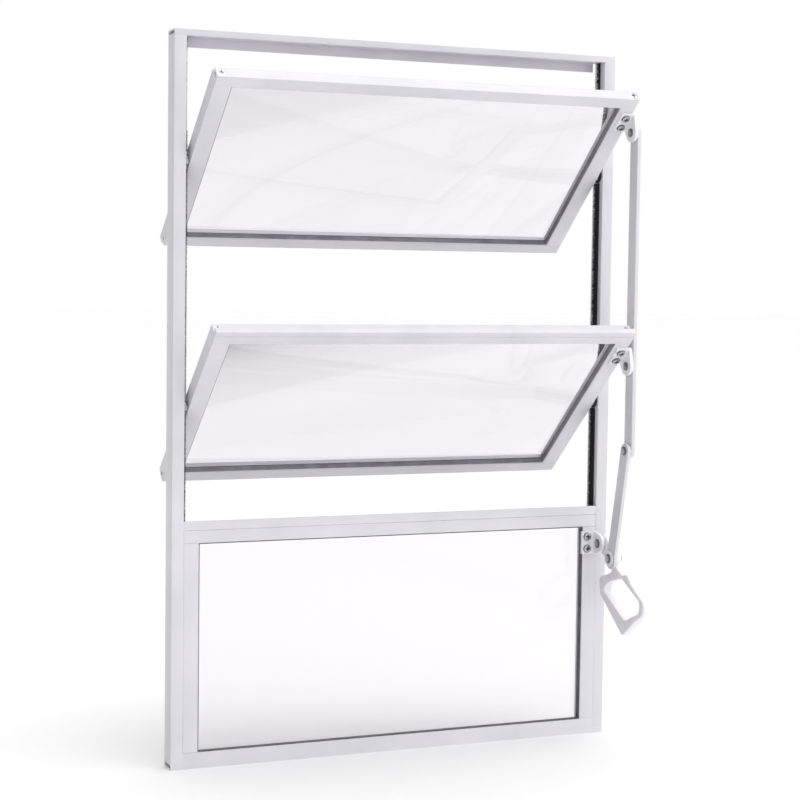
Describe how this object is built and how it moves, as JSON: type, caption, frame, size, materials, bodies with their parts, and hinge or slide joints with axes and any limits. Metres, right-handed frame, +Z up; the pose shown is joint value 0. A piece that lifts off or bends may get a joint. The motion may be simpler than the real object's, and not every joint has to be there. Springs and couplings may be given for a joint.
{
  "type": "tilting window with lever",
  "caption": "Tilting window with centre-hung glazed vents over a fixed light, opened together by a flat bar and a cast lever on the room side.",
  "frame": {"origin": "centre of the sill's underside, mid-width and mid-depth of the outer frame", "axes": "+X to the right seen from the room, +Y to the outside, +Z up; the vents are drawn open and the lever down"},
  "size_m": [0.4, 0.1745, 0.6],
  "materials": {
    "white_aluminium": "white powder coat on extruded aluminium, satin",
    "white_cast": "white paint on cast aluminium, satin",
    "clear_glass": "clear float glass",
    "black_seal": "black glazing rubber, matte",
    "black_pile": "black brush pile",
    "plated_steel": "bright zinc plate",
    "rivet_steel": "dull plated steel",
    "nylon": "moulded, matte"
  },
  "bodies": {
    "frame": {"head": "white_aluminium", "sill": "white_aluminium", "jamb_left": "white_aluminium", "jamb_right": "white_aluminium", "transom": "white_aluminium", "transom_front": "white_aluminium", "light_top_rail": "white_aluminium", "light_bottom_rail": "white_aluminium", "light_stile_left": "white_aluminium", "light_stile_right": "white_aluminium", "light_glass": "clear_glass", "light_gasket": "black_seal", "pile_left": "black_pile", "pile_right": "black_pile", "fin_left": "black_pile", "fin_right": "black_pile", "pivot_bushes": "nylon", "frame_screws": "plated_steel", "lever_bracket": "white_cast", "lever_bracket_screws": "plated_steel", "lever_rivet": "rivet_steel"},
    "vent_upper": {"upper_top_rail": "white_aluminium", "upper_bottom_rail": "white_aluminium", "upper_stile_left": "white_aluminium", "upper_stile_right": "white_aluminium", "upper_glass": "clear_glass", "upper_gasket": "black_seal", "upper_corner_screws": "plated_steel", "upper_pivot_pins": "rivet_steel", "upper_bracket": "white_cast", "upper_bracket_screws": "plated_steel", "upper_rivet": "rivet_steel"},
    "vent_lower": {"lower_top_rail": "white_aluminium", "lower_bottom_rail": "white_aluminium", "lower_stile_left": "white_aluminium", "lower_stile_right": "white_aluminium", "lower_glass": "clear_glass", "lower_gasket": "black_seal", "lower_corner_screws": "plated_steel", "lower_pivot_pins": "rivet_steel", "lower_bracket": "white_cast", "lower_bracket_screws": "plated_steel", "lower_rivet": "rivet_steel"},
    "bar": {"coupling_bar": "white_aluminium", "bar_rivet": "rivet_steel"},
    "link": {"link": "white_aluminium"},
    "lever": {"lever": "white_cast", "link_rivet": "rivet_steel", "link_washer": "white_cast"}
  },
  "joints": [
    {"name": "lower_vent_hinge", "type": "hinge", "parent": "frame", "child": "vent_lower", "pos_m": [0, -0.0005, 0.2973], "axis": [-1, 0, 0], "range_deg": [0, 49]},
    {"name": "upper_vent_hinge", "type": "hinge", "parent": "frame", "child": "vent_upper", "pos_m": [0, -0.0005, 0.4963], "axis": [-1, 0, 0], "range_deg": [0, 49]},
    {"name": "bar_pivot", "type": "hinge", "parent": "vent_lower", "child": "bar", "pos_m": [0.1916, -0.06274, 0.33087], "axis": [-1, 0, 0], "range_deg": [-49, 0]},
    {"name": "link_pivot", "type": "hinge", "parent": "bar", "child": "link", "pos_m": [0.1882, -0.06274, 0.258], "axis": [-1, 0, 0], "range_deg": [0, 20.7]},
    {"name": "lever_pivot", "type": "hinge", "parent": "frame", "child": "lever", "pos_m": [0.193, -0.019, 0.172], "axis": [-1, 0, 0], "range_deg": [0, 90.5]}
  ],
  "couplings": [
    {"joint": "upper_vent_hinge", "follows": "lower_vent_hinge", "ratio": 1},
    {"joint": "bar_pivot", "follows": "lower_vent_hinge", "ratio": -1},
    {"joint": "link_pivot", "follows": "lower_vent_hinge", "ratio": 0.42195},
    {"joint": "lever_pivot", "follows": "lower_vent_hinge", "ratio": 1.846}
  ]
}
